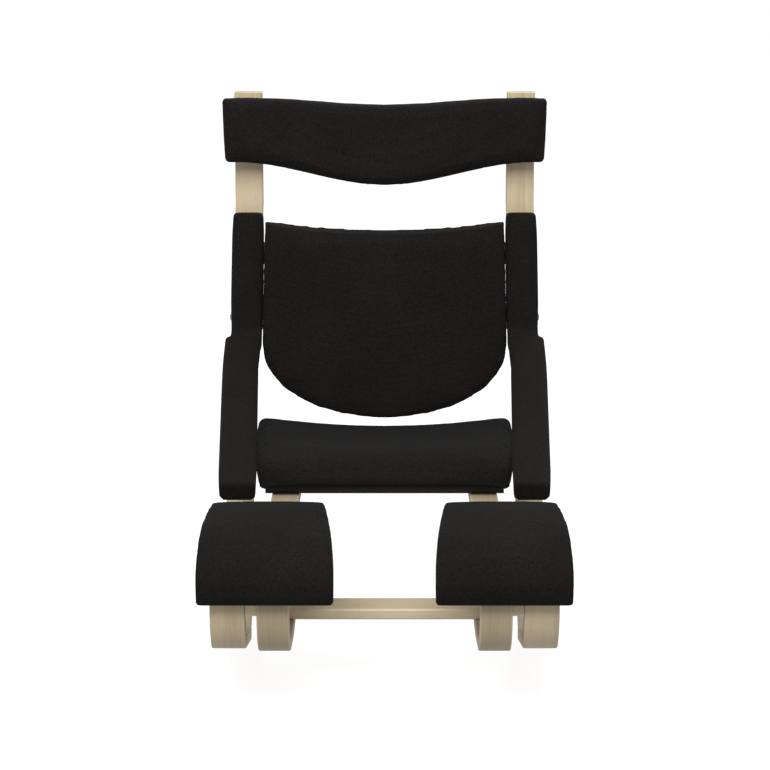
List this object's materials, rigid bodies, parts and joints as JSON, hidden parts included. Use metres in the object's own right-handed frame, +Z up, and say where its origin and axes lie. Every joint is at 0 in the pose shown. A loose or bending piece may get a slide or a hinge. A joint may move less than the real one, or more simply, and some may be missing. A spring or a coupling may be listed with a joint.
{
  "type": "kneeling rocker chair",
  "caption": "Bent-wood kneeling and reclining chair with leg pads, seat, back, arms and a sliding headrest.",
  "frame": {"origin": "on the floor, under the middle of the whole chair's box", "axes": "+X towards the sitter's left, -Y towards the leg pads and +Y towards the back, +Z up"},
  "size_m": [0.7038, 1.0458, 1.0716],
  "materials": {
    "beech_lamination": "clear matt lacquer over bent beech laminations",
    "birch_plywood": "sealed moulded plywood",
    "charcoal_fabric": "matt woven wool blend, near black",
    "zinc_steel": "zinc plated",
    "black_plastic": "fine satin grain"
  },
  "bodies": {
    "frame": {"arm_bolt_left_1": "zinc_steel", "arm_bolt_left_2": "zinc_steel", "arm_bolt_right_1": "zinc_steel", "arm_bolt_right_2": "zinc_steel", "arm_core_left": "birch_plywood", "arm_core_right": "birch_plywood", "arm_pad_left": "charcoal_fabric", "arm_pad_right": "charcoal_fabric", "back_board": "birch_plywood", "back_cushion": "charcoal_fabric", "back_post_left": "beech_lamination", "back_post_right": "beech_lamination", "foot_bar_bolt_left": "zinc_steel", "foot_bar_bolt_right": "zinc_steel", "frame_bolt_left_1": "zinc_steel", "frame_bolt_left_2": "zinc_steel", "frame_bolt_right_1": "zinc_steel", "frame_bolt_right_2": "zinc_steel", "front_crossbar": "beech_lamination", "leg_board_left": "birch_plywood", "leg_board_right": "birch_plywood", "leg_bolt_left_1": "zinc_steel", "leg_bolt_left_2": "zinc_steel", "leg_bolt_right_1": "zinc_steel", "leg_bolt_right_2": "zinc_steel", "leg_pad_left": "charcoal_fabric", "leg_pad_right": "charcoal_fabric", "lower_back_bolt_left": "zinc_steel", "lower_back_bolt_right": "zinc_steel", "lower_back_rail": "beech_lamination", "nose_bolt_left": "zinc_steel", "nose_bolt_right": "zinc_steel", "nose_spacer_left": "beech_lamination", "nose_spacer_right": "beech_lamination", "rail_bolt_left": "zinc_steel", "rail_bolt_right": "zinc_steel", "rear_crossbar": "beech_lamination", "runner_left": "beech_lamination", "runner_right": "beech_lamination", "seat_board": "birch_plywood", "seat_bolt_left_1": "zinc_steel", "seat_bolt_left_2": "zinc_steel", "seat_bolt_right_1": "zinc_steel", "seat_bolt_right_2": "zinc_steel", "seat_cushion": "charcoal_fabric", "seat_rail_left": "beech_lamination", "seat_rail_right": "beech_lamination", "upper_back_bolt_left": "zinc_steel", "upper_back_bolt_right": "zinc_steel", "upper_back_rail": "beech_lamination"},
    "headrest": {"headrest_board": "birch_plywood", "headrest_clamp_left": "zinc_steel", "headrest_clamp_right": "zinc_steel", "headrest_cushion": "charcoal_fabric"},
    "knob_left": {"clamp_knob_left": "black_plastic"},
    "knob_right": {"clamp_knob_right": "black_plastic"}
  },
  "joints": [
    {"name": "headrest_slide", "type": "slide", "parent": "frame", "child": "headrest", "axis": [0, 0.0708, 0.9975], "range_m": [-0.08, 0.012]},
    {"name": "knob_left_turn", "type": "hinge", "parent": "headrest", "child": "knob_left", "pos_m": [0.294, 0.4836, 0.99], "axis": [0, 0.9975, -0.0708], "range_deg": [0, 720]},
    {"name": "knob_right_turn", "type": "hinge", "parent": "headrest", "child": "knob_right", "pos_m": [-0.294, 0.4836, 0.99], "axis": [0, 0.9975, -0.0708], "range_deg": [0, 720]}
  ]
}
